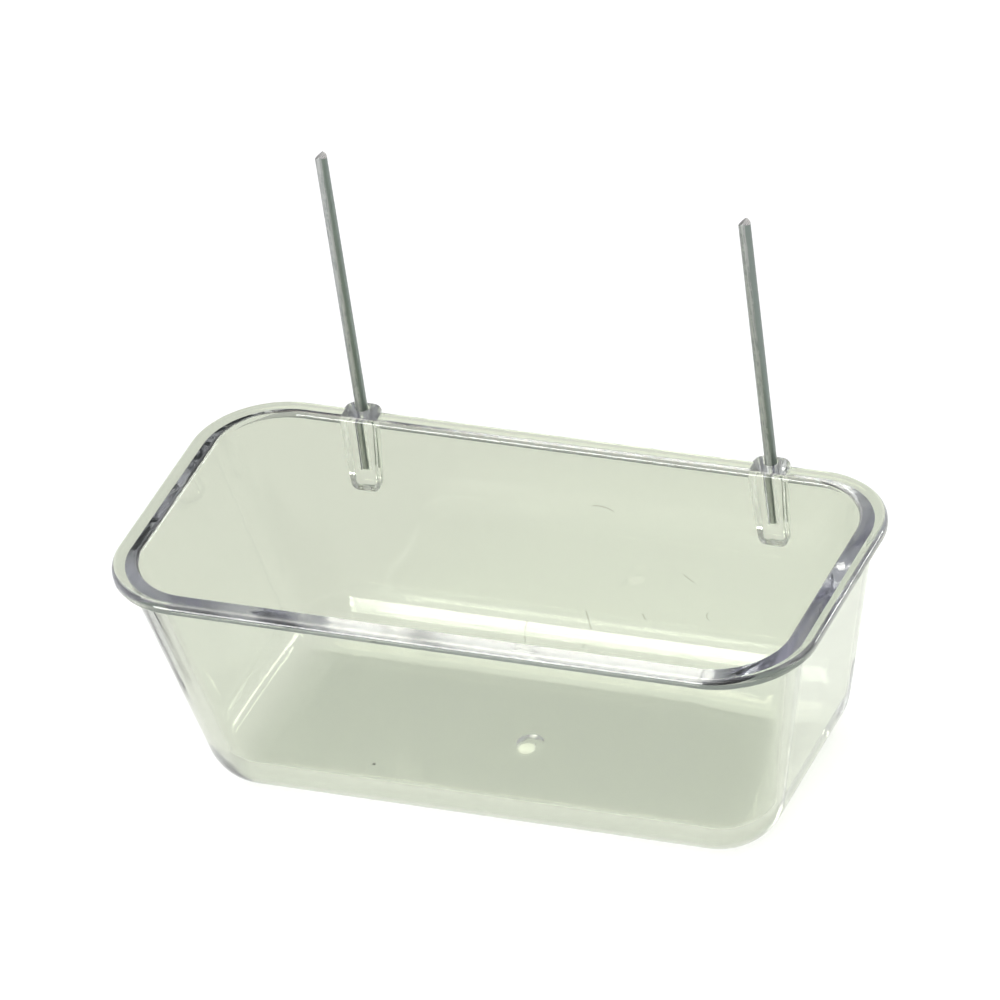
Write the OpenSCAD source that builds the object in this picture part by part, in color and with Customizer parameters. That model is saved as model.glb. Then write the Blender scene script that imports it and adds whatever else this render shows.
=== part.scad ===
// Clear moulded cage feeder: a trough with a rolled lip and two steel hanger wires.
// Millimetres, +Z up. The origin is on the table, under the middle of the rim.
// +X runs along the trough, +Y points to the cage side that carries the bosses.

/* [Rim] */
// Length over the lip
rim_length = 120; // [90:0.5:180]
// Depth over the lip, front to back
rim_depth = 59.6; // [52:0.2:90]
// Corner radius of the lip, seen from above
rim_corner_r = 14.8; // [10:0.1:20]
// Thickness of the lip
lip_thickness = 1.8; // [1.4:0.1:4]
// How far the lip stands out past the walls
lip_overhang = 1.7; // [1:0.1:4]
// Rounding of the lip's upper outer edge
lip_nose_r = 1.0; // [0.4:0.05:1]
// Rounding of the lip's lower outer edge
lip_under_r = 0.35; // [0.1:0.05:0.4]
// Rounding of the mouth's inner edge
mouth_edge_r = 0.8; // [0.2:0.1:1.2]

/* [Trough] */
// Height from the table to the top of the lip
height = 43.4; // [32:0.2:70]
// Slope of the two end walls, in degrees from upright
end_draft = 13.3; // [2:0.1:18]
// Slope of the front wall, in degrees from upright
front_draft = 9.1; // [1:0.1:15]
// Slope of the back wall, in degrees from upright
back_draft = 0.3; // [0:0.1:8]
// Thickness of the end walls at the mouth
end_wall = 2.9; // [1.4:0.1:4]
// Thickness of the front and back walls at the mouth
long_wall = 2.0; // [1.4:0.1:3.5]
// Thickness of the floor
floor_thickness = 2.3; // [1.4:0.1:3.5]
// Thickness of every wall where its outer radius ends
foot_wall = 2.3; // [1.4:0.1:3.5]
// Outer radius between the floor and the walls
base_r = 9; // [6:0.1:12]
// Inner radius between the floor and the walls
inner_r = 8.8; // [6:0.1:11]
// Corner radius of the flat floor inside
inner_corner_r = 0.3; // [0.1:0.1:3]
// Extra corner radius of the base beyond the floor radius
base_corner_r = 1.9; // [0.5:0.1:4]

/* [Gate mark] */
// Diameter of the dished moulding mark under the floor
gate_dish_d = 4.8; // [2:0.1:8]
// Depth of that dish
gate_dish_depth = 0.6; // [0.4:0.05:0.9]
// Diameter of the cut-off moulding stub in the dish
gate_stub_d = 2.2; // [0.8:0.1:3]
// How far the stub's end stays above the table
gate_stub_recess = 0.2; // [0.1:0.05:0.3]

/* [Wire bosses] */
// Distance from each end of the lip to the nearer wire's axis
wire_inset = 24.4; // [19:0.2:34]
// Distance from the lip's back edge to the wires' axes, positive outwards
wire_setback = -0.1; // [-0.3:0.05:1]
// Width of a boss at its top
boss_width = 6.4; // [5:0.1:9]
// Width of a boss at its foot
boss_foot_width = 5.1; // [4.6:0.1:7]
// Height of a boss
boss_height = 14.6; // [13:0.1:22]
// Plastic behind the bore at the boss's top
boss_back_wall = 0.8; // [0.8:0.05:2.5]
// Rounding of a boss's upright corners
boss_corner_r = 1.9; // [0.8:0.1:2.2]
// Rounding of a boss's top edge
boss_top_r = 0.6; // [0.1:0.1:0.6]
// Rounding of a boss's foot
boss_foot_r = 1.4; // [0.3:0.1:1.5]
// Depth of the blind bore
bore_depth = 10.8; // [6:0.1:12]

/* [Hanger wires] */
// Diameter of the galvanised wire
wire_d = 2.0; // [1.2:0.1:2.2]
// Clearance between a wire and its bore, all round
wire_clearance = 0.15; // [0.05:0.05:0.25]
// Length of the left wire that stands above the lip
left_reach = 49.1; // [20:0.1:80]
// Length of the right wire that stands above the lip
right_reach = 46.4; // [20:0.1:80]
// Share of the play in its bore that the left wire leans outwards by
left_lean_share = 0.8; // [-0.9:0.05:0.9]
// Share of the play in its bore that the right wire leans outwards by
right_lean_share = 0.15; // [-0.9:0.05:0.9]
// Slant of the left face of the pliers' cut at the wires' upper ends, in degrees
cut_left = 38; // [4:1:45]
// Slant of the right face of that cut
cut_right = 25; // [4:1:45]
// Slant of the pliers' cut at the wires' lower ends, in degrees
foot_slant = 6; // [4:1:15]

/* [Hidden] */
$fn = 64;
eps = 0.01;

// Steps in a corner's quarter turn and in a rounded edge
corner_steps = 12;
edge_steps = 5;
fillet_steps = 10;

half_length = rim_length / 2;
half_depth = rim_depth / 2;
wall_top_x = half_length - lip_overhang;
wall_top_y = half_depth - lip_overhang;
lip_z = height - lip_thickness;

// A wall's section is an arc up from the flat floor and then a straight slope.
// Reach of that section past the floor's edge, at height h over the floor
function reach(draft, r, h) =
    let (arc_h = r * (1 - sin(draft)))
        h < arc_h ? sqrt(r * r - pow(r - h, 2)) : r * cos(draft) + (h - arc_h) * tan(draft);

// Half size of the flat floor that brings a slope to its place at the lip
function foot(top, draft, r, h) = top - reach(draft, r, h);
outer_drafts = [end_draft, front_draft, back_draft];
wall_tops = [wall_top_x, wall_top_y, wall_top_y];
outer_feet = [for (i = [0:2]) foot(wall_tops[i], outer_drafts[i], base_r, height)];
foot_back = outer_feet[2];
floor_mid_y = (foot_back - outer_feet[1]) / 2;

// Slope of an inner wall from the mouth, with foot_wall of plastic left where the outer arc ends
mouths = [wall_top_x - end_wall, wall_top_y - long_wall, wall_top_y - long_wall];
mouth_z = height - mouth_edge_r;
function inner_draft(mouth, foot) =
    let (across = mouth - foot, up = mouth_z - base_r)
        atan2(across, up) - asin((base_r - foot_wall) / norm([across, up]));
inner_drafts = [for (i = [0:2]) inner_draft(mouths[i], outer_feet[i])];
inner_feet = [
    for (i = [0:2]) foot(mouths[i], inner_drafts[i], inner_r, mouth_z - floor_thickness)
];

bore_d = wire_d + 2 * wire_clearance;
bore_floor_z = height - bore_depth;
wire_x = half_length - wire_inset;
wire_y = half_depth + wire_setback;
boss_back_y = wire_y + bore_d / 2 + boss_back_wall;

// Points of a level of the loft, anticlockwise seen from above.
// A level is [half length, reach to the front, reach to the back, corner radius, z].
function corner(cx, cy, r, start, z) = [
    for (i = [0:corner_steps])
        let (a = start + 90 * i / corner_steps)
            [cx + r * cos(a), cy + r * sin(a), z]
];
function outline(l) = concat(
    corner(l[0] - l[3], l[2] - l[3], l[3], 0, l[4]),
    corner(l[3] - l[0], l[2] - l[3], l[3], 90, l[4]),
    corner(l[3] - l[0], l[3] - l[1], l[3], 180, l[4]),
    corner(l[0] - l[3], l[3] - l[1], l[3], 270, l[4])
);

// Level of a skin at z: its floor's height, arc radius, feet, slopes, and low and top corner radius
function skin_level(z, floor_z, r, feet, drafts, floor_r, top_r) =
    let (
        h = z - floor_z,
        arc = h < r ? sqrt(r * r - pow(r - h, 2)) : r,
        climb = max(0, h - r) / (height - floor_z - r),
        low_r = floor_r + arc
    )
        concat(
            [for (i = [0:2]) feet[i] + reach(drafts[i], r, h)],
            [low_r + (top_r - low_r) * climb, z]
        );
neck_r = rim_corner_r - lip_overhang;
mouth_r = neck_r - long_wall;
function outer_level(z) =
    skin_level(z, 0, base_r, outer_feet, outer_drafts, base_corner_r, neck_r);
function inner_level(z) =
    skin_level(z, floor_thickness, inner_r, inner_feet, inner_drafts, inner_corner_r, mouth_r);
function arc_z(floor_z, r, t) = floor_z + r * (1 - cos(90 * t));

// Levels up the outside, from the table to the lip's underside
outer_levels = concat(
    [for (i = [0:fillet_steps]) outer_level(arc_z(0, base_r, i / fillet_steps))],
    [outer_level(lip_z)]
);

// Levels round the lip: its lower edge, then its nose
function lip_level(inset, z) = [
    half_length - inset, half_depth - inset, half_depth - inset, rim_corner_r - inset, z
];
lip_levels = concat(
    [
        for (i = [0:edge_steps])
            let (a = 90 * i / edge_steps)
                lip_level(lip_under_r * (1 - sin(a)), lip_z + lip_under_r * (1 - cos(a)))
    ],
    [
        for (i = [0:edge_steps])
            let (a = 90 * i / edge_steps)
                lip_level(lip_nose_r * (1 - cos(a)), height - lip_nose_r * (1 - sin(a)))
    ]
);

// Levels over the mouth's rounded edge and down the inside to the floor
mouth_levels = [
    for (i = [0:edge_steps])
        let (
            a = 90 * i / edge_steps,
            outset = mouth_edge_r * (1 - sin(a)),
            z = height - mouth_edge_r * (1 - cos(a))
        )
            concat([for (mouth = mouths) mouth + outset], [mouth_r + outset, z])
];
inner_levels = [
    for (i = [fillet_steps:-1:0]) inner_level(arc_z(floor_thickness, inner_r, i / fillet_steps))
];

// Skin through a list of levels, closed by the first and the last one
module loft(list) {
    n = 4 * (corner_steps + 1);
    count = len(list);
    points = [for (l = list) each outline(l)];
    sides = [
        for (k = [0:count - 2], i = [0:n - 1])
            let (a = k * n + i, b = k * n + (i + 1) % n)
                each [[a, b + n, b], [a, a + n, b + n]]
    ];
    first = [for (i = [0:n - 1]) i];
    last = [for (i = [n - 1:-1:0]) (count - 1) * n + i];
    polyhedron(points = points, faces = concat([first], sides, [last]));
}

// Thin plate of a boss's section at one height; its front edge lies inside the back wall
module boss_plate(width, back_y, r, z) {
    wall_y = foot_back + reach(back_draft, base_r, z);
    translate([0, 0, z])
        linear_extrude(height = eps) {
            for (side = [-1, 1])
                translate([side * (width / 2 - r), back_y - r])
                    circle(r = r, $fn = 32);
            translate([-width / 2, wall_y - long_wall / 2])
                square([width, eps]);
        }
}

// One boss, tapered to its foot
module boss() {
    taper = (boss_width - boss_foot_width) / 2;
    foot_z = height - boss_height;
    foot_back_y = boss_back_y - taper;
    hull() {
        boss_plate(boss_width - 2 * boss_top_r, boss_back_y - boss_top_r,
            boss_corner_r - boss_top_r, height - eps);
        boss_plate(boss_width, boss_back_y, boss_corner_r, height - boss_top_r);
        boss_plate(boss_foot_width, foot_back_y, boss_corner_r, foot_z + boss_foot_r);
        boss_plate(boss_foot_width - boss_foot_r, foot_back_y - boss_foot_r / 2,
            boss_corner_r - boss_foot_r / 2, foot_z);
    }
}

// Moulding mark under the floor: a dished recess with the cut-off stub left in it
module gate_dish() {
    r = (pow(gate_dish_d / 2, 2) + pow(gate_dish_depth, 2)) / (2 * gate_dish_depth);
    translate([0, floor_mid_y, gate_dish_depth - r])
        sphere(r = r);
}
module gate_stub() {
    translate([0, floor_mid_y, gate_stub_recess])
        cylinder(h = gate_dish_depth - gate_stub_recess + eps, d = gate_stub_d);
}

module trough() {
    color("honeydew", 0.5) {
        difference() {
            union() {
                loft(concat(outer_levels, lip_levels, mouth_levels, inner_levels));
                for (side = [-1, 1])
                    translate([side * wire_x, 0, 0])
                        boss();
            }
            for (side = [-1, 1])
                translate([side * wire_x, wire_y, bore_floor_z])
                    cylinder(h = bore_depth + 1, d = bore_d);
            gate_dish();
        }
        gate_stub();
    }
}

// Half-space block that trims a wire beyond a slanted plane through its own origin
module plier_cut(slant) {
    rotate([0, slant, 0])
        translate([-wire_d, -wire_d, 0])
            cube(2 * wire_d);
}

// Straight wire that stands on its bore's floor and leans within the bore's play
module wire(side, reach_up, lean_share) {
    length = bore_depth + reach_up;
    lean = lean_share * atan(2 * wire_clearance / bore_depth);
    foot_shift = bore_depth / 2 * tan(lean);
    foot_lift = wire_d / 2 * sin(side * lean);
    color("silver")
        translate([side * (wire_x - foot_shift), wire_y, bore_floor_z + foot_lift])
            rotate([0, side * lean, 0])
                difference() {
                    cylinder(h = length, d = wire_d);
                    translate([0, 0, length]) {
                        plier_cut(cut_right);
                        plier_cut(-cut_left);
                    }
                    translate([0, 0, wire_d / 2 * tan(foot_slant)])
                        plier_cut(180 + foot_slant);
                }
}
module left_wire() {
    wire(-1, left_reach, left_lean_share);
}
module right_wire() {
    wire(1, right_reach, right_lean_share);
}

trough();
left_wire();
right_wire();
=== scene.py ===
"""Clear cage feeder with steel hanger wires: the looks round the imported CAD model.

The pieces' sizes are millimetres, as in the part's source, until a mesh is finished in
metres. Lengths in the finishes and in the studio are metres.
+X runs along the trough, +Y points to the cage side with the bosses, +Z is up.
"""

import logging
import math
from dataclasses import dataclass, field
from enum import Enum

import bmesh
import bpy
from mathutils import Matrix, Vector


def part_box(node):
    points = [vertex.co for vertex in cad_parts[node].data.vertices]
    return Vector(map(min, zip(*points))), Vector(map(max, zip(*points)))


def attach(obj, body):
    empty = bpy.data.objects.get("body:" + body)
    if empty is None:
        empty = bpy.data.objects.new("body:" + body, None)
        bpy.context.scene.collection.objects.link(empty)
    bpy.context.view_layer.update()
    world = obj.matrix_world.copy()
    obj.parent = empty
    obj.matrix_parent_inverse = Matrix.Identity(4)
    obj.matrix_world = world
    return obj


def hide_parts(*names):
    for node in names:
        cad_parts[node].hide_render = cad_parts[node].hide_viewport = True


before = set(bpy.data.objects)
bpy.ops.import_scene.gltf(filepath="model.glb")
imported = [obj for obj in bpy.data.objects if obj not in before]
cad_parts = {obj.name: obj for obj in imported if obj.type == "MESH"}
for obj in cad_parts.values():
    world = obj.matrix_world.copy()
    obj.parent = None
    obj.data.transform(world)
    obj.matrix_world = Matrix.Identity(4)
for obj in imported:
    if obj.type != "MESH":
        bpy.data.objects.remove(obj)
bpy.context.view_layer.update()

MM = 0.001
WIRE_X = 35.6
WHITE = (1.0, 1.0, 1.0, 1.0)
log = logging.getLogger("feeder")


class Side(Enum):
    """Which of the two bosses and wires, by the sign of its x."""

    LEFT = -1
    RIGHT = 1


def quarter(step: int, steps: int) -> float:
    """Angle of a step in a quarter turn, in radians."""
    return math.pi / 2 * step / steps


def rounding(r: float, steps: int) -> list[tuple[float, float]]:
    """Points of a quarter circle, from its foot to where it turns level.

    Args:
        r: The circle's radius.
        steps: Edges in the quarter.

    Returns:
        For each point, its distances from the square corner's two sides.
    """
    turns = [quarter(i, steps) for i in range(steps + 1)]
    return [(r * (1 - math.sin(turn)), r * (1 - math.cos(turn))) for turn in turns]


def finished_object(name: str, mesh: bpy.types.Mesh) -> bpy.types.Object:
    """Link a mesh to the scene as an object at the origin.

    Args:
        name: The object's name.
        mesh: The mesh that it shows.

    Returns:
        The new object.
    """
    piece = bpy.data.objects.new(name, mesh)
    bpy.context.scene.collection.objects.link(piece)
    return piece


def object_from(name: str, shape: bmesh.types.BMesh) -> bpy.types.Object:
    """Turn a bmesh in millimetres into an object in metres, and free the bmesh.

    Args:
        name: The object's name.
        shape: The bmesh, in millimetres.

    Returns:
        The new object, at the origin.
    """
    bmesh.ops.recalc_face_normals(shape, faces=shape.faces[:])
    bmesh.ops.scale(shape, vec=(MM, MM, MM), verts=shape.verts[:])
    mesh = bpy.data.meshes.new(name)
    shape.to_mesh(mesh)
    shape.free()
    return finished_object(name, mesh)


@dataclass(frozen=True)
class Level:
    """One ring of a loft: a rectangle with rounded corners, seen from above."""

    half_length: float
    front: float
    back: float
    front_r: float
    back_r: float
    z: float


class Loft:
    """Skin through rings of one kind, made by extruding a ring from level to level."""

    def __init__(self, corner_steps: int, first: Level) -> None:
        """Start with a flat face that has the first level's outline.

        Args:
            corner_steps: Edges in each corner's quarter turn.
            first: The level that closes the skin at its start.
        """
        self.shape = bmesh.new()
        self.corner = self.shape.verts.layers.float_vector.new("corner")
        self.turn = self.shape.verts.layers.float_vector.new("turn")
        bmesh.ops.create_grid(self.shape, x_segments=1, y_segments=1, size=1.0)
        bmesh.ops.bevel(
            self.shape, geom=self.shape.verts[:], offset=0.5, segments=corner_steps,
            profile=0.5, affect="VERTICES", material=-1,
        )
        for vert in self.shape.verts:
            corner = Vector((math.copysign(1, vert.co.x), math.copysign(1, vert.co.y), 0))
            vert[self.corner] = corner
            vert[self.turn] = (vert.co - corner / 2).normalized()
        self.ring = self.shape.edges[:]
        self.place(self.shape.verts, first)

    def place(self, verts: list[bmesh.types.BMVert], level: Level) -> None:
        """Move a ring's points onto a level's outline.

        Args:
            verts: The ring's points.
            level: The level that they go to.
        """
        for vert in verts:
            corner, turn = vert[self.corner], vert[self.turn]
            at_back = corner.y > 0
            r = level.back_r if at_back else level.front_r
            y = level.back - r if at_back else level.front + r
            vert.co = (corner.x * (level.half_length - r) + r * turn.x, y + r * turn.y, level.z)

    def rise(self, level: Level) -> None:
        """Extrude the last ring to the next level.

        Args:
            level: The next level.
        """
        grown = bmesh.ops.extrude_edge_only(self.shape, edges=self.ring)["geom"]
        verts = {item for item in grown if isinstance(item, bmesh.types.BMVert)}
        self.ring = [
            item for item in grown
            if isinstance(item, bmesh.types.BMEdge) and verts.issuperset(item.verts)
        ]
        self.place(list(verts), level)

    def close(self) -> bmesh.types.BMesh:
        """Close the skin over the last ring and return the solid."""
        bmesh.ops.contextual_create(self.shape, geom=self.ring)
        self.shape.verts.layers.float_vector.remove(self.shape.verts.layers.float_vector["corner"])
        self.shape.verts.layers.float_vector.remove(self.shape.verts.layers.float_vector["turn"])
        return self.shape


def lofted(corner_steps: int, levels: list[Level]) -> bmesh.types.BMesh:
    """Closed skin through a list of levels.

    Args:
        corner_steps: Edges in each corner's quarter turn.
        levels: The levels, from the one that starts the skin to the one that ends it.

    Returns:
        The solid, in millimetres.
    """
    skin = Loft(corner_steps, levels[0])
    for level in levels[1:]:
        skin.rise(level)
    return skin.close()


def carve(body: bpy.types.Object, tools: list[tuple[bpy.types.Object, str]]) -> bpy.types.Object:
    """Join tools to a body or cut them out of it, in order, and remove the tools.

    Args:
        body: The object that is worked on.
        tools: Each tool with its Boolean operation.

    Returns:
        A new object with the result as its own mesh.
    """
    for tool, operation in tools:
        step = body.modifiers.new(tool.name, "BOOLEAN")
        step.object = tool
        step.operation = operation
        step.solver = "EXACT"
    depsgraph = bpy.context.evaluated_depsgraph_get()
    mesh = bpy.data.meshes.new_from_object(body.evaluated_get(depsgraph))
    name = body.name
    for used in [body, *(tool for tool, _ in tools)]:
        old = used.data
        bpy.data.objects.remove(used)
        bpy.data.meshes.remove(old)
    mesh.name = name
    return finished_object(name, mesh)


@dataclass(frozen=True)
class Nodes:
    """A node tree with short ways to add and join its nodes."""

    tree: bpy.types.NodeTree

    def add(self, kind: str, settings: dict | None = None, **values: object) -> bpy.types.Node:
        """Add a node, set its properties and feed its inputs.

        Args:
            kind: The node's type, without the ShaderNode prefix.
            settings: Its properties by name.
            values: Its inputs, with _ for a space: a plain value, or the socket that feeds it.

        Returns:
            The new node.
        """
        made = self.tree.nodes.new("ShaderNode" + kind)
        for name, value in (settings or {}).items():
            setattr(made, name, value)
        for name, value in values.items():
            self.feed(made.inputs[name.replace("_", " ")], value)
        return made

    def feed(self, target: bpy.types.NodeSocket, value: object) -> None:
        """Link a socket to an input, or set the input to a plain value."""
        if isinstance(value, bpy.types.NodeSocket):
            self.tree.links.new(value, target)
        else:
            target.default_value = value

    def maths(self, operation: str, first: object, second: object = 0.0) -> bpy.types.NodeSocket:
        """Add a Math node.

        Args:
            operation: What it does with its two inputs.
            first: Its first input, a number or a socket.
            second: Its second input, a number or a socket.

        Returns:
            The result's socket.
        """
        made = self.add("Math", {"operation": operation})
        self.feed(made.inputs[0], first)
        self.feed(made.inputs[1], second)
        return made.outputs[0]

    def towards(self, vector: object, axis: object) -> bpy.types.NodeSocket:
        """Dot product of a vector's socket with a fixed axis."""
        made = self.add("VectorMath", {"operation": "DOT_PRODUCT"})
        self.feed(made.inputs[0], vector)
        self.feed(made.inputs[1], axis)
        return made.outputs["Value"]

    def distance(self, place: object, point: tuple) -> bpy.types.NodeSocket:
        """Distance of a place's socket from a fixed point."""
        made = self.add("VectorMath", {"operation": "DISTANCE"})
        self.feed(made.inputs[0], place)
        self.feed(made.inputs[1], point)
        return made.outputs["Value"]

    def mix(self, share: object, first: object, second: object) -> bpy.types.NodeSocket:
        """Blend from a first colour to a second one by a share, and return the result's socket."""
        made = self.add("Mix", {"data_type": "RGBA"}, Factor=share)
        self.feed(made.inputs[6], first)
        self.feed(made.inputs[7], second)
        return made.outputs[2]

    def between(self, value: object, low: float, high: float) -> bpy.types.NodeSocket:
        """Map 0 to 1 onto a range, and return the result's socket."""
        made = self.add("MapRange", {"clamp": True}, Value=value, To_Min=low, To_Max=high)
        return made.outputs[0]

    def window(self, value: object, low: float, high: float) -> bpy.types.NodeSocket:
        """Mask that climbs smoothly from 0 at low to 1 at high."""
        made = self.add(
            "MapRange", {"interpolation_type": "SMOOTHSTEP"},
            Value=value, From_Min=low, From_Max=high,
        )
        return made.outputs[0]


class StreakGroup:
    """Node group for fine streaks along one direction, which the wire and the plastic share."""

    FINER = 3.7
    STREAK_EDGE = (0.42, 0.62)

    _made: bpy.types.NodeTree | None = None

    @classmethod
    def tree(cls) -> bpy.types.NodeTree:
        """Build the group once and return it."""
        if cls._made is None:
            cls._made = cls._build()
        return cls._made

    @classmethod
    def _build(cls) -> bpy.types.NodeTree:
        """Make the group: stretched noise in two sizes, as a streak mask and a height."""
        tree = bpy.data.node_groups.new("fine_streaks", "ShaderNodeTree")
        for name, kind in (("Vector", "Vector"), ("Stretch", "Vector"), ("Scale", "Float")):
            tree.interface.new_socket(name, in_out="INPUT", socket_type="NodeSocket" + kind)
        for name in ("Streaks", "Height"):
            tree.interface.new_socket(name, in_out="OUTPUT", socket_type="NodeSocketFloat")
        nodes = Nodes(tree)
        inlet = tree.nodes.new("NodeGroupInput")
        outlet = tree.nodes.new("NodeGroupOutput")
        stretched = nodes.add("VectorMath", {"operation": "MULTIPLY"})
        nodes.feed(stretched.inputs[0], inlet.outputs["Vector"])
        nodes.feed(stretched.inputs[1], inlet.outputs["Stretch"])
        broad = nodes.add(
            "TexNoise", Vector=stretched.outputs[0], Scale=inlet.outputs["Scale"], Detail=3.0,
        )
        finer = nodes.maths("MULTIPLY", inlet.outputs["Scale"], cls.FINER)
        fine = nodes.add("TexNoise", Vector=stretched.outputs[0], Scale=finer, Detail=2.0)
        streaked = nodes.window(fine.outputs["Fac"], *cls.STREAK_EDGE)
        nodes.feed(outlet.inputs["Streaks"], streaked)
        both = nodes.maths("ADD", broad.outputs["Fac"], fine.outputs["Fac"])
        nodes.feed(outlet.inputs["Height"], nodes.maths("MULTIPLY", both, 0.5))
        return tree


def streaks(nodes: Nodes, vector: object, stretch: tuple, scale: float) -> bpy.types.Node:
    """Place the streak group in a material.

    Args:
        nodes: The material's nodes.
        vector: The socket of the coordinates that it reads.
        stretch: How much each axis is compressed before the noise.
        scale: The noise's scale, in turns a metre.

    Returns:
        The group's node, with its Streaks and Height outputs.
    """
    made = nodes.tree.nodes.new("ShaderNodeGroup")
    made.node_tree = StreakGroup.tree()
    nodes.feed(made.inputs["Vector"], vector)
    nodes.feed(made.inputs["Stretch"], stretch)
    nodes.feed(made.inputs["Scale"], scale)
    return made


def blank_material(name: str) -> tuple[bpy.types.Material, Nodes, bpy.types.Node]:
    """Make an empty node material.

    Args:
        name: The material's name.

    Returns:
        The material, its nodes and its output node.
    """
    material = bpy.data.materials.new(name)
    material.use_nodes = True
    material.node_tree.nodes.clear()
    nodes = Nodes(material.node_tree)
    return material, nodes, nodes.add("OutputMaterial")


@dataclass(frozen=True)
class Hair:
    """A hair that clings to the inside of the back wall, as a bent line in x and z.

    It reaches as far to both sides of its middle, is turned from level by an angle in
    radians, and its bend is the height of its parabola at a distance of 1.
    """

    x: float
    z: float
    turn: float
    reach: float
    bend: float = 0.0
    thickness: float = 0.00022
    core: float = 0.4
    full_reach: float = 0.85

    def mask(self, nodes: Nodes, place: object) -> bpy.types.NodeSocket:
        """Mask of the hair.

        Args:
            nodes: The material's nodes.
            place: The object coordinates' socket.

        Returns:
            The mask's socket: 1 in the middle of the hair.
        """
        cos, sin = math.cos(self.turn), math.sin(self.turn)
        along = nodes.maths(
            "SUBTRACT", nodes.towards(place, (cos, 0.0, sin)), cos * self.x + sin * self.z
        )
        across = nodes.maths(
            "SUBTRACT", nodes.towards(place, (-sin, 0.0, cos)), cos * self.z - sin * self.x
        )
        sag = nodes.maths("MULTIPLY", nodes.maths("MULTIPLY", along, along), self.bend)
        off = nodes.maths("ABSOLUTE", nodes.maths("SUBTRACT", across, sag))
        thin = nodes.window(off, self.thickness, self.core * self.thickness)
        short = nodes.window(
            nodes.maths("ABSOLUTE", along), self.reach, self.full_reach * self.reach
        )
        return nodes.maths("MULTIPLY", thin, short)


HAIRS = (
    Hair(0.0069, 0.0328, -0.16, 0.0020, -130.0),
    Hair(0.0019, 0.0099, -1.34, 0.0018, 40.0),
    Hair(0.0014, 0.0060, 1.05, 0.0007),
    Hair(-0.0092, 0.0068, 1.57, 0.0018, -120.0),
    Hair(0.0118, 0.0120, -1.22, 0.0007),
    Hair(0.0205, 0.0208, -0.66, 0.0012, 90.0, 0.00018),
    Hair(0.0229, 0.0138, -1.57, 0.0009, 700.0, 0.00018),
)


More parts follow.
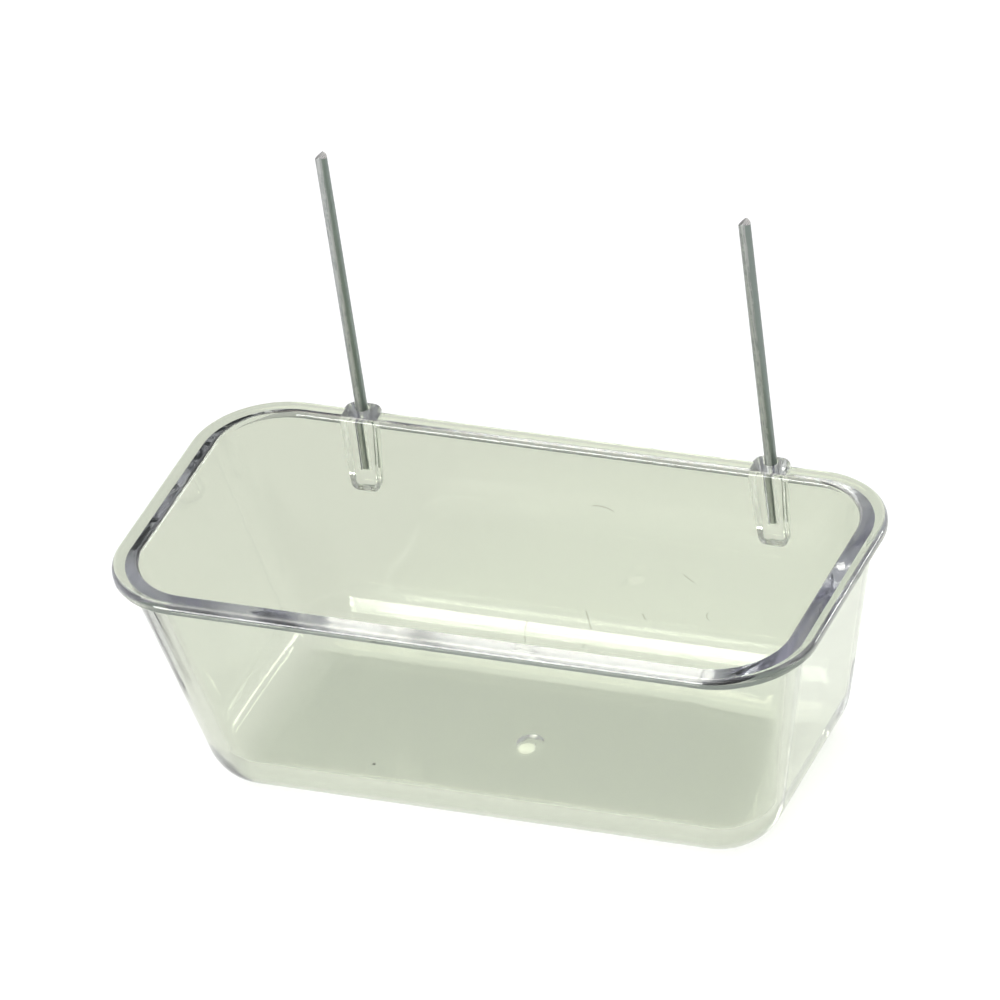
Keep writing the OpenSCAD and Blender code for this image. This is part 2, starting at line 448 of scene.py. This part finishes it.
@dataclass(frozen=True)
class ClearPlastic:
    """Crystal polystyrene: faintly green, glossy, with fine handling scratches.

    The tint counts at the first surface on a line of sight, and the later tint at the rest.
    The contact shadow tints paint shade on the table under the flat underside.
    """

    tint: tuple = (0.59, 0.625, 0.515, 1.0)
    later_tint: tuple = (0.97, 0.98, 0.96, 1.0)
    first_surface: tuple = (1.4, 1.6)
    refraction: float = 1.59
    roughness: float = 0.015
    scuffed_roughness: float = 0.06
    scuff_stretch: tuple = (1.0, 0.35, 1.0)
    scuff_scale: float = 420.0
    patch_scale: float = 45.0
    patch_edge: tuple = (0.5, 0.75)
    ripple_scale: float = 38.0
    ripple_depth: float = 0.000004
    lamp_tint: tuple = (0.96, 0.975, 0.945, 1.0)
    # Painted shade: these two darken the table under the base, as its contact shadow.
    contact_shadow_lamp_tint: tuple = (0.66, 0.68, 0.66, 1.0)
    contact_shadow_bounce_tint: tuple = (0.44, 0.46, 0.43, 1.0)
    base_back: tuple = (0.0192, 0.0189)
    base_slope: tuple = (-0.05, -0.2)
    skirt: float = 0.006
    mark_place: tuple = (0.0, 0.0012, 0.0)
    mark_edge: tuple = (0.0017, 0.00119)
    mark_height: tuple = (0.001, 0.0008)
    frost: tuple = (1.0, 1.0, 0.96, 1.0)
    frost_roughness: float = 0.6
    frost_painted_glow: float = 0.45
    absorbed: tuple = (0.80, 0.78, 0.97, 1.0)
    density: float = 6.0
    hair_tint: tuple = (0.40, 0.41, 0.33, 1.0)
    back_wall_front: tuple = (0.020, 0.021)
    back_wall_skin: tuple = (0.0263, 0.0262)
    speck_tint: tuple = (0.02, 0.025, 0.015, 1.0)
    speck_place: tuple = (-0.0224, -0.0092, 0.0023)
    speck_edge: tuple = (0.0004, 0.0002)

    def material(self) -> bpy.types.Material:
        """Build the material.

        Returns:
            Glass that lets lamps through, with a faint absorption inside.
        """
        material, nodes, output = blank_material("clear_plastic")
        place = nodes.add("TexCoord").outputs["Object"]
        scuffs = streaks(nodes, place, self.scuff_stretch, self.scuff_scale)
        patches = nodes.add("TexNoise", Vector=place, Scale=self.patch_scale, Detail=2.0)
        handled = nodes.window(patches.outputs["Fac"], *self.patch_edge)
        worn = nodes.maths("MULTIPLY", scuffs.outputs["Streaks"], handled)
        ripple = nodes.add("TexNoise", Vector=place, Scale=self.ripple_scale, Detail=1.0)
        bump = nodes.add(
            "Bump", Strength=1.0, Distance=self.ripple_depth, Height=ripple.outputs["Fac"]
        )
        depth, height = nodes.add("SeparateXYZ", Vector=place).outputs[1:]
        contact_shadow_zone = self.under_the_base(nodes, depth, height)
        path = nodes.add("LightPath")
        later = nodes.window(path.outputs["Transmission Depth"], *self.first_surface)
        # Painted contact shadow: the table's bounce rays see a darker colour through the base.
        contact_shadow_bounce = nodes.maths("MULTIPLY", contact_shadow_zone, path.outputs["Is Diffuse Ray"])
        colour = nodes.mix(
            contact_shadow_bounce, nodes.mix(later, self.tint, self.later_tint), self.contact_shadow_bounce_tint
        )
        speck = nodes.window(nodes.distance(place, self.speck_place), *self.speck_edge)
        colour = nodes.mix(speck, colour, self.speck_tint)
        rough = nodes.between(worn, self.roughness, self.scuffed_roughness)
        glass = nodes.add("MixShader", Fac=self.back_wall(nodes, depth))
        with_hairs = nodes.mix(self.hairy(nodes, place), colour, self.hair_tint)
        for branch, tinted in enumerate((colour, with_hairs), start=1):
            clear = nodes.add(
                "BsdfPrincipled", Base_Color=tinted, IOR=self.refraction,
                Transmission_Weight=1.0, Roughness=rough, Normal=bump.outputs[0],
            )
            nodes.feed(glass.inputs[branch], clear.outputs[0])
        # Painted contact shadow: lamp light through the base reaches the table darker.
        let_through = nodes.add(
            "BsdfTransparent", Color=nodes.mix(contact_shadow_zone, self.lamp_tint, self.contact_shadow_lamp_tint)
        )
        surface = nodes.add("MixShader", Fac=path.outputs["Is Shadow Ray"])
        nodes.feed(surface.inputs[1], self.marked(nodes, place, height, glass.outputs[0]))
        nodes.feed(surface.inputs[2], let_through.outputs[0])
        inside = nodes.add("VolumeAbsorption", Color=self.absorbed, Density=self.density)
        nodes.feed(output.inputs["Surface"], surface.outputs[0])
        nodes.feed(output.inputs["Volume"], inside.outputs[0])
        return material

    def back_wall(self, nodes: Nodes, depth: object) -> bpy.types.NodeSocket:
        """Mask of the back wall's inner skin, from the socket of the object coordinates' y."""
        inner = nodes.window(depth, *self.back_wall_skin)
        return nodes.maths("MULTIPLY", inner, nodes.window(depth, *self.back_wall_front))

    def hairy(self, nodes: Nodes, place: object) -> bpy.types.NodeSocket:
        """Mask of all the hairs.

        Args:
            nodes: The material's nodes.
            place: The object coordinates' socket.

        Returns:
            The mask's socket.
        """
        masks = [hair.mask(nodes, place) for hair in HAIRS]
        every = masks[0]
        for mask in masks[1:]:
            every = nodes.maths("MAXIMUM", every, mask)
        return every

    def under_the_base(self, nodes: Nodes, depth: object, height: object) -> bpy.types.NodeSocket:
        """Mask of the outer skin next to the table for the painted contact shadow: the flat
        underside and its radius.

        Args:
            nodes: The material's nodes.
            depth: The socket of the object coordinates' y.
            height: The socket of their z.

        Returns:
            The mask's socket: 1 on the underside, and 0 from skirt up or behind base_back.
        """
        normal = nodes.add("TexCoord").outputs["Normal"]
        upward = nodes.add("SeparateXYZ", Vector=normal).outputs["Z"]
        down = nodes.window(upward, *self.base_slope)
        low = nodes.maths("MULTIPLY", down, nodes.window(height, self.skirt, 0.0))
        return nodes.maths("MULTIPLY", low, nodes.window(depth, *self.base_back))

    def marked(
        self, nodes: Nodes, place: object, height: object, glass: object,
    ) -> bpy.types.NodeSocket:
        """Frost the plastic where the gate was cut off under the floor, with a painted glow.

        Args:
            nodes: The material's nodes.
            place: The object coordinates' socket.
            height: The socket of their height.
            glass: The clear plastic's shader.

        Returns:
            The shader with the frosted mark in it.
        """
        near = nodes.window(nodes.distance(place, self.mark_place), *self.mark_edge)
        cut = nodes.maths("MULTIPLY", near, nodes.window(height, *self.mark_height))
        # The frost is the cut's own rough white; its emission is painted light, though it is no
        # lamp.
        frosted = nodes.add(
            "BsdfPrincipled", Base_Color=self.frost, Roughness=self.frost_roughness,
            Emission_Color=self.frost, Emission_Strength=self.frost_painted_glow,
        )
        surface = nodes.add("MixShader", Fac=cut)
        nodes.feed(surface.inputs[1], glass)
        nodes.feed(surface.inputs[2], frosted.outputs[0])
        return surface.outputs[0]


@dataclass(frozen=True)
class GalvanisedWire:
    """Drawn steel wire with a dull zinc coat, streaks along its length and painted shade on one
    side.
    """

    pale: tuple = (0.37, 0.38, 0.37, 1.0)
    dark: tuple = (0.24, 0.26, 0.25, 1.0)
    painted_shade_side: tuple = (0.90, 0.435, 0.0)
    painted_shade_colour: tuple = (0.235, 0.275, 0.25, 1.0)
    painted_shade_edge: tuple = (-0.2, 0.12)
    raggedness: float = 0.08
    streak_stretch: tuple = (1.0, 1.0, 0.05)
    streak_scale: float = 1500.0
    streak_depth: float = 0.00003
    mottle_scale: float = 900.0
    mottle_edge: tuple = (0.3, 0.6)
    roughness: tuple = (0.32, 0.5)

    def material(self) -> bpy.types.Material:
        """Build the material.

        Returns:
            Metal whose colour, roughness and height follow the streaks.
        """
        material, nodes, output = blank_material("galvanised_wire")
        place = nodes.add("TexCoord").outputs["Object"]
        drawn = streaks(nodes, place, self.streak_stretch, self.streak_scale)
        mottle = nodes.add("TexNoise", Vector=place, Scale=self.mottle_scale, Detail=3.0)
        spots = nodes.window(mottle.outputs["Fac"], *self.mottle_edge)
        shade = nodes.maths("MULTIPLY", drawn.outputs["Streaks"], spots)
        # Painted shade: one fixed side of each wire is made darker.
        turned = nodes.towards(nodes.add("TexCoord").outputs["Normal"], self.painted_shade_side)
        shift = nodes.between(shade, -self.raggedness, self.raggedness)
        painted_shade = nodes.window(nodes.maths("ADD", turned, shift), *self.painted_shade_edge)
        coat = nodes.mix(painted_shade, nodes.mix(shade, self.pale, self.dark), self.painted_shade_colour)
        bump = nodes.add(
            "Bump", Strength=0.6, Distance=self.streak_depth, Height=drawn.outputs["Height"]
        )
        metal = nodes.add(
            "BsdfPrincipled", Base_Color=coat, Metallic=1.0,
            Roughness=nodes.between(mottle.outputs["Fac"], *self.roughness),
            Normal=bump.outputs[0],
        )
        nodes.feed(output.inputs["Surface"], metal.outputs[0])
        return material


@dataclass(frozen=True)
class CutSteel:
    """Bare steel where the pliers cut the wire."""

    name: str
    colour: tuple
    ridge_stretch: tuple = (1.0, 0.1, 0.4)
    ridge_scale: float = 2600.0
    ridge_depth: float = 0.00004
    roughness: tuple = (0.22, 0.4)

    def material(self) -> bpy.types.Material:
        """Build the material.

        Returns:
            Bright metal with the pliers' short ridges.
        """
        material, nodes, output = blank_material(self.name)
        place = nodes.add("TexCoord").outputs["Object"]
        ridges = streaks(nodes, place, self.ridge_stretch, self.ridge_scale)
        bump = nodes.add(
            "Bump", Strength=0.5, Distance=self.ridge_depth, Height=ridges.outputs["Height"]
        )
        metal = nodes.add(
            "BsdfPrincipled", Base_Color=self.colour, Metallic=1.0,
            Roughness=nodes.between(ridges.outputs["Streaks"], *self.roughness),
            Normal=bump.outputs[0],
        )
        nodes.feed(output.inputs["Surface"], metal.outputs[0])
        return material


@dataclass
class Trough:
    """The moulded trough with its lip, wire bosses, blind bores and moulding mark."""

    half_length: float
    half_depth: float
    height: float
    boss_back: float
    wire_x: float
    wire_y: float
    bore_floor: float
    rim_corner_r: float = 14.8
    lip_thickness: float = 1.8
    lip_overhang: float = 1.7
    lip_nose_r: float = 1.0
    lip_under_r: float = 0.35
    mouth_edge_r: float = 0.8
    end_draft: float = math.radians(13.3)
    front_draft: float = math.radians(9.1)
    back_draft: float = math.radians(0.3)
    end_wall: float = 2.9
    long_wall: float = 2.0
    floor: float = 2.3
    foot_wall: float = 2.3
    base_r: float = 9.0
    inner_r: float = 8.8
    base_corner_r: float = 1.9
    inner_corner_r: float = 0.3
    gate_dish_r: float = 2.4
    gate_dish_depth: float = 0.6
    gate_stub_r: float = 1.1
    gate_stub_recess: float = 0.2
    boss_width: float = 6.4
    boss_foot_width: float = 5.1
    boss_height: float = 14.6
    boss_corner_r: float = 1.9
    boss_top_r: float = 0.6
    boss_foot_r: float = 1.4
    bore_r: float = 1.15
    corner_steps: int = 28
    fillet_steps: int = 20
    edge_steps: int = 8
    wall_steps: int = 6
    sharp_angle: float = math.radians(32)

    def reach(self, draft: float, r: float, h: float) -> float:
        """How far a wall's section stands past the flat floor's edge.

        Args:
            draft: The wall's slope from upright, in radians.
            r: The radius between floor and wall.
            h: The height over the floor.

        Returns:
            The distance, in millimetres.
        """
        arc_h = r * (1 - math.sin(draft))
        if h < arc_h:
            return math.sqrt(r * r - (r - h) ** 2)
        return r * math.cos(draft) + (h - arc_h) * math.tan(draft)

    def __post_init__(self) -> None:
        """Work out the flat floors, the mouth and the inner walls' slopes."""
        self.drafts = (self.end_draft, self.front_draft, self.back_draft)
        end_top, long_top = (
            half - self.lip_overhang for half in (self.half_length, self.half_depth)
        )
        tops = (end_top, long_top, long_top)
        walls = (self.end_wall, self.long_wall, self.long_wall)
        self.feet = [
            top - self.reach(draft, self.base_r, self.height)
            for top, draft in zip(tops, self.drafts)
        ]
        self.mouth = [top - wall for top, wall in zip(tops, walls)]
        mouth_z = self.height - self.mouth_edge_r
        up = mouth_z - self.base_r
        self.inner_drafts = [
            math.atan2(mouth - foot, up)
            - math.asin((self.base_r - self.foot_wall) / math.hypot(mouth - foot, up))
            for mouth, foot in zip(self.mouth, self.feet)
        ]
        self.inner_feet = [
            mouth - self.reach(draft, self.inner_r, mouth_z - self.floor)
            for mouth, draft in zip(self.mouth, self.inner_drafts)
        ]
        self.neck_r = self.rim_corner_r - self.lip_overhang
        self.mouth_r = self.neck_r - self.long_wall

    @property
    def gate_y(self) -> float:
        """Where the moulding mark lies: the middle of the flat floor."""
        return (self.feet[2] - self.feet[1]) / 2

    def skin_level(self, z: float, inside: bool) -> Level:
        """Level of the outer or the inner skin.

        Args:
            z: The level's height.
            inside: Whether it is on the inner skin.

        Returns:
            The level.
        """
        floor_z, r, feet, drafts = (
            (self.floor, self.inner_r, self.inner_feet, self.inner_drafts) if inside
            else (0.0, self.base_r, self.feet, self.drafts)
        )
        floor_r, top_r = (
            (self.inner_corner_r, self.mouth_r) if inside else (self.base_corner_r, self.neck_r)
        )
        h = z - floor_z
        arc = math.sqrt(max(0.0, r * r - (r - h) ** 2)) if h < r else r
        climb = max(0.0, h - r) / (self.height - floor_z - r)
        low_r = floor_r + arc
        corner_r = low_r + (top_r - low_r) * climb
        length, front, back = (foot + self.reach(draft, r, h) for foot, draft in zip(feet, drafts))
        return Level(length, -front, back, corner_r, corner_r, z)

    def rim_level(self, inset: float, z: float) -> Level:
        """Level of the lip, a given distance in from its outline."""
        r = self.rim_corner_r - inset
        reach = self.half_depth - inset
        return Level(self.half_length - inset, -reach, reach, r, r, z)

    def mouth_level(self, outset: float, z: float) -> Level:
        """Level of the mouth's rounded edge, a given distance out from the inner walls."""
        length, front, back = (reach + outset for reach in self.mouth)
        r = self.mouth_r + outset
        return Level(length, -front, back, r, r, z)

    def skin_heights(self, inside: bool) -> list[float]:
        """Heights of a skin's levels, from the floor to the lip or the mouth.

        Args:
            inside: Whether they are on the inner skin.

        Returns:
            The heights: close together in the floor's radius, and even up the wall.
        """
        r, low = (self.inner_r, self.floor) if inside else (self.base_r, 0.0)
        top = self.height - (self.mouth_edge_r if inside else self.lip_thickness)
        arc = [low + climb for _, climb in rounding(r, self.fillet_steps)]
        rise = top - arc[-1]
        return arc + [
            arc[-1] + rise * i / self.wall_steps for i in range(1, self.wall_steps + 1)
        ]

    def levels(self) -> list[Level]:
        """The loft's levels: up the outside, round the lip, over the mouth and down the inside."""
        lip_z = self.height - self.lip_thickness
        outer = [self.skin_level(z, inside=False) for z in self.skin_heights(inside=False)]
        under = [
            self.rim_level(inset, lip_z + rise)
            for inset, rise in rounding(self.lip_under_r, self.edge_steps)
        ]
        nose = [
            self.rim_level(inset, self.height - drop)
            for drop, inset in rounding(self.lip_nose_r, self.edge_steps)
        ]
        edge = [
            self.mouth_level(outset, self.height - drop)
            for outset, drop in rounding(self.mouth_edge_r, self.edge_steps)[:-1]
        ]
        inner = [self.skin_level(z, inside=True) for z in reversed(self.skin_heights(inside=True))]
        return outer + under + nose + edge + inner

    def boss_level(self, width: float, back: float, r: float, z: float) -> Level:
        """Level of a boss, whose front lies inside the back wall."""
        wall = self.feet[2] + self.reach(self.back_draft, self.base_r, z)
        return Level(width / 2, wall - self.long_wall / 2, back, self.lip_under_r, r, z)

    def boss(self, side: Side) -> bpy.types.Object:
        """One tapered boss with a rounded foot and top edge.

        Args:
            side: Which boss.

        Returns:
            The boss as a tool for carve.
        """
        foot_z = self.height - self.boss_height
        taper = (self.boss_width - self.boss_foot_width) / 2
        levels = [
            self.boss_level(
                self.boss_foot_width - 2 * inset, self.boss_back - taper - inset,
                self.boss_corner_r - inset, foot_z + rise,
            )
            for inset, rise in rounding(self.boss_foot_r, self.edge_steps)
        ]
        levels += [
            self.boss_level(
                self.boss_width - 2 * inset, self.boss_back - inset,
                self.boss_corner_r - inset, self.height - drop,
            )
            for drop, inset in rounding(self.boss_top_r, self.edge_steps)
        ]
        shape = lofted(self.edge_steps, levels)
        bmesh.ops.translate(shape, vec=(side.value * self.wire_x, 0, 0), verts=shape.verts[:])
        return object_from(f"boss_{side.name.lower()}", shape)

    def bore(self, side: Side) -> bpy.types.Object:
        """The blind bore for a wire, as a tool for carve.

        Args:
            side: Which boss it is in.

        Returns:
            A cylinder that reaches past the boss's top.
        """
        shape = bmesh.new()
        depth = self.height - self.bore_floor
        x = side.value * self.wire_x
        place = Matrix.Translation((x, self.wire_y, self.bore_floor + depth))
        bmesh.ops.create_cone(
            shape, cap_ends=True, segments=64, radius1=self.bore_r, radius2=self.bore_r,
            depth=2 * depth, matrix=place,
        )
        return object_from(f"bore_{side.name.lower()}", shape)

    def gate_dish(self) -> bpy.types.Object:
        """The dished recess under the floor, as a tool for carve."""
        r = (self.gate_dish_r ** 2 + self.gate_dish_depth ** 2) / (2 * self.gate_dish_depth)
        shape = bmesh.new()
        place = Matrix.Translation((0, self.gate_y, self.gate_dish_depth - r))
        bmesh.ops.create_uvsphere(shape, u_segments=96, v_segments=96, radius=r, matrix=place)
        return object_from("gate_dish", shape)

    def gate_stub(self) -> bpy.types.Object:
        """The cut-off stub in the dish, as a tool for carve."""
        shape = bmesh.new()
        depth = self.gate_dish_depth - self.gate_stub_recess + self.floor / 4
        place = Matrix.Translation((0, self.gate_y, self.gate_stub_recess + depth / 2))
        bmesh.ops.create_cone(
            shape, cap_ends=True, segments=48, radius1=self.gate_stub_r, radius2=self.gate_stub_r,
            depth=depth, matrix=place,
        )
        return object_from("gate_stub", shape)

    def build(self) -> bpy.types.Object:
        """Make the whole moulding as one closed mesh.

        Returns:
            The trough, dressed and riding on the root body.
        """
        body = object_from("clear_trough", lofted(self.corner_steps, self.levels()))
        trough = carve(body, [
            (self.boss(Side.LEFT), "UNION"),
            (self.boss(Side.RIGHT), "UNION"),
            (self.bore(Side.LEFT), "DIFFERENCE"),
            (self.bore(Side.RIGHT), "DIFFERENCE"),
            (self.gate_dish(), "DIFFERENCE"),
            (self.gate_stub(), "UNION"),
        ])
        trough.data.shade_smooth()
        trough.data.set_sharp_from_angle(angle=self.sharp_angle)
        evened = trough.modifiers.new("even_normals", "WEIGHTED_NORMAL")
        evened.keep_sharp = True
        evened.weight = 80
        trough.data.materials.clear()
        trough.data.materials.append(ClearPlastic().material())
        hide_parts("trough")
        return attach(trough, "root")


@dataclass
class HangerWire:
    """One straight wire that stands in its bore, cut with pliers at both ends."""

    side: Side
    finishes: list[bpy.types.Material]
    cut_left: float = math.radians(38)
    cut_right: float = math.radians(25)
    foot_slant: float = math.radians(6)
    edge_r: float = 0.09
    around: int = 48
    rings: int = 40
    sharp_angle: float = math.radians(50)

    def __post_init__(self) -> None:
        """Take the wire's axis and radius from its CAD node."""
        node = f"{self.side.name.lower()}_wire"
        low, high = (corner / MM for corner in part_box(node))
        points = [vert.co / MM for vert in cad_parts[node].data.vertices]
        foot = [point for point in points if point.z < (low.z + high.z) / 2]
        ridge = [point for point in points if point.z > high.z - self.edge_r / 4]
        self.node = node
        self.r = (high.y - low.y) / 2
        self.foot, self.top = (sum(end, Vector()) / len(end) for end in (foot, ridge))

    def build(self) -> bpy.types.Object:
        """Make the wire.

        Returns:
            The wire, dressed and riding on the root body.
        """
        axis = (self.top - self.foot).normalized()
        length = (self.top - self.foot).length
        shape = bmesh.new()
        bmesh.ops.create_cone(
            shape, cap_ends=True, segments=self.around, radius1=self.r, radius2=self.r,
            depth=length + 2 * self.r,
        )
        sides = [e for e in shape.edges if abs(e.verts[0].co.z - e.verts[1].co.z) > length]
        bmesh.ops.subdivide_edges(shape, edges=sides, cuts=self.rings, use_grid_fill=True)
        cuts = (
            (length / 2, self.cut_right, 1, 1),
            (length / 2, -self.cut_left, 1, 2),
            (-length / 2, self.foot_slant, -1, 1),
        )
        for z, slant, upward, finish in cuts:
            normal = Vector((math.sin(slant), 0, upward * math.cos(slant)))
            cut = bmesh.ops.bisect_plane(
                shape, geom=shape.verts[:] + shape.edges[:] + shape.faces[:], dist=1e-5,
                plane_co=(0, 0, z), plane_no=normal, clear_outer=True,
            )
            rim = [item for item in cut["geom_cut"] if isinstance(item, bmesh.types.BMEdge)]
            face = bmesh.ops.contextual_create(shape, geom=rim)["faces"][0]
            face.material_index = finish
        sharp = {edge for face in shape.faces if face.material_index for edge in face.edges}
        bmesh.ops.bevel(
            shape, geom=list(sharp), offset=self.edge_r, segments=3, profile=0.5,
            affect="EDGES", material=-1,
        )
        turn = Vector((0, 0, 1)).rotation_difference(axis).to_matrix().to_4x4()
        middle = Matrix.Translation((self.top + self.foot) / 2)
        bmesh.ops.transform(shape, matrix=middle @ turn, verts=shape.verts[:])
        wire = object_from(f"{self.node}_drawn", shape)
        wire.data.shade_smooth()
        wire.data.set_sharp_from_angle(angle=self.sharp_angle)
        for finish in self.finishes:
            wire.data.materials.append(finish)
        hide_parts(self.node)
        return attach(wire, "root")


@dataclass(frozen=True)
class Lamp:
    """A softbox: an area lamp, wide by high, that points at the feeder."""

    name: str
    azimuth: float
    elevation: float
    distance: float
    width: float
    height: float
    radiance: float
    colour: tuple = (1.0, 1.0, 1.0)

    def build(self) -> bpy.types.Object:
        """Place the lamp.

        Returns:
            The lamp's object.
        """
        light = bpy.data.lights.new(self.name, "AREA")
        light.shape = "RECTANGLE"
        light.size, light.size_y = self.width, self.height
        light.energy = self.radiance * math.pi * self.width * self.height
        light.color = self.colour
        lamp = bpy.data.objects.new(self.name, light)
        bpy.context.scene.collection.objects.link(lamp)
        away = direction(self.azimuth, self.elevation)
        lamp.location = away * self.distance
        lamp.rotation_euler = away.to_track_quat("Z", "Y").to_euler()
        return lamp


def direction(azimuth: float, elevation: float) -> Vector:
    """Unit vector from the feeder towards a place round it.

    Args:
        azimuth: Degrees from straight in front, positive to the right.
        elevation: Degrees over the table.

    Returns:
        The vector.
    """
    a, e = math.radians(azimuth), math.radians(elevation)
    return Vector((math.sin(a) * math.cos(e), -math.cos(a) * math.cos(e), math.sin(e)))


@dataclass
class Studio:
    """Pale table, soft light and the camera at the photograph's angle."""

    light_bounces: int = 40
    table_half: float = 5.0
    table_drop: float = 0.0002
    table_colour: tuple = (0.79, 0.79, 0.805, 1.0)
    lift: float = 0.25
    near_sky: tuple = (0.40, 0.40, 0.41, 1.0)
    far_sky: tuple = WHITE
    far_azimuth: float = -150.0
    far_edge: tuple = (-0.5, 0.8)
    high_sky: tuple = (0.70, 0.70, 0.73, 1.0)
    sky_climb: tuple = (0.35, 0.65)
    flag: tuple = (0.32, 0.35, 0.37, 1.0)
    flag_place: tuple = (-154.0, 20.0)
    flag_edge: tuple = (0.940, 0.966)
    azimuth: float = 25.83
    elevation: float = 34.1
    roll: float = math.radians(-7.51)
    distance: float = 1.939
    focal_share: float = 12.07
    sensor: float = 36.0
    aim_right: float = -0.002016
    aim_up: float = 0.02382
    aim_height: float = 0.02168
    lamps: list[Lamp] = field(default_factory=lambda: [
        Lamp("front_softbox", -26, 9, 1.1, 0.62, 0.46, 15.0),
        Lamp("back_strip", 139, 4, 1.1, 0.14, 0.16, 14.0),
        Lamp("top_softbox", -112, 64, 1.2, 0.72, 0.56, 3.5, (1.0, 0.965, 0.87)),
    ])

    def table(self) -> bpy.types.Object:
        """The table: a wide pale sheet that keeps the feeder's shadow."""
        shape = bmesh.new()
        bmesh.ops.create_grid(shape, x_segments=1, y_segments=1, size=self.table_half / MM)
        bmesh.ops.translate(shape, vec=(0, 0, -self.table_drop / MM), verts=shape.verts[:])
        table = object_from("table", shape)
        material, nodes, output = blank_material("table_paper")
        path = nodes.add("LightPath")
        seen = nodes.maths("MAXIMUM", path.outputs["Is Camera Ray"], path.outputs["Is Glossy Ray"])
        seen = nodes.maths("MAXIMUM", seen, path.outputs["Is Transmission Ray"])
        paper = nodes.add(
            "BsdfPrincipled", Base_Color=self.table_colour, Roughness=0.9, Specular_IOR_Level=0.0,
            Emission_Color=WHITE,
            Emission_Strength=nodes.maths("MULTIPLY", seen, self.lift),
        )
        nodes.feed(output.inputs["Surface"], paper.outputs[0])
        table.data.materials.append(material)
        return table

    def world(self) -> None:
        """Pale light from above and from behind on the left, with a grey flag on that side."""
        world = bpy.data.worlds.new("studio")
        bpy.context.scene.world = world
        world.use_nodes = True
        nodes = Nodes(world.node_tree)
        place = nodes.add("TexCoord").outputs["Generated"]
        height = nodes.add("SeparateXYZ", Vector=place).outputs["Z"]
        farther = nodes.towards(place, direction(self.far_azimuth, 0.0))
        low_sky = nodes.mix(nodes.window(farther, *self.far_edge), self.near_sky, self.far_sky)
        open_sky = nodes.mix(nodes.window(height, *self.sky_climb), low_sky, self.high_sky)
        behind = nodes.towards(place, direction(*self.flag_place))
        flagged = nodes.mix(nodes.window(behind, *self.flag_edge), open_sky, self.flag)
        nodes.feed(world.node_tree.nodes["Background"].inputs["Color"], flagged)

    def camera(self) -> bpy.types.Object:
        """Place the camera as the photograph has it.

        Returns:
            The camera's object.
        """
        back = direction(self.azimuth, self.elevation)
        level = Vector((0, 0, 1)).cross(back).normalized()
        upright = back.cross(level)
        right = level * math.cos(self.roll) + upright * math.sin(self.roll)
        up = back.cross(right)
        lens = bpy.data.cameras.new("camera")
        lens.sensor_width = self.sensor
        lens.lens = self.focal_share * self.sensor
        lens.clip_start, lens.clip_end = 0.1, 50.0
        camera = bpy.data.objects.new("camera", lens)
        bpy.context.scene.collection.objects.link(camera)
        target = Vector((0, 0, self.aim_height)) + right * self.aim_right + up * self.aim_up
        place = Matrix((right, up, back)).transposed().to_4x4()
        place.translation = target + back * self.distance
        camera.matrix_world = place
        bpy.context.scene.camera = camera
        return camera

    def build(self) -> None:
        """Set up the table, the world, the lamps and the camera."""
        self.table()
        self.world()
        for lamp in self.lamps:
            lamp.build()
        self.camera()
        scene = bpy.context.scene
        scene.view_settings.view_transform = "Standard"
        scene.cycles.max_bounces = self.light_bounces
        scene.cycles.glossy_bounces = self.light_bounces
        scene.cycles.transmission_bounces = self.light_bounces


def main() -> None:
    """Build the feeder's pieces and the studio, and report each piece."""
    logging.basicConfig(level=logging.INFO, format="%(name)s: %(message)s")
    low, high = (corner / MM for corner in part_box("trough"))
    right_low, right_high = (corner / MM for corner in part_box("right_wire"))
    trough = Trough(
        half_length=high.x, half_depth=-low.y, height=high.z, boss_back=high.y,
        wire_x=WIRE_X, wire_y=(right_low.y + right_high.y) / 2, bore_floor=right_low.z,
    )
    pieces = [trough.build()]
    finishes = [
        GalvanisedWire().material(),
        CutSteel("bright_cut", (0.62, 0.61, 0.58, 1.0)).material(),
        # The dull cut face's near-black colour is partly its rough sheared steel and partly
        # painted shade.
        CutSteel("dull_and_shaded_cut", (0.10, 0.10, 0.09, 1.0)).material(),
    ]
    for side in Side:
        pieces.append(HangerWire(side, finishes).build())
    Studio().build()
    for piece in pieces:
        log.info("%s: %d faces", piece.name, len(piece.data.polygons))


if __name__ == "__main__":
    main()
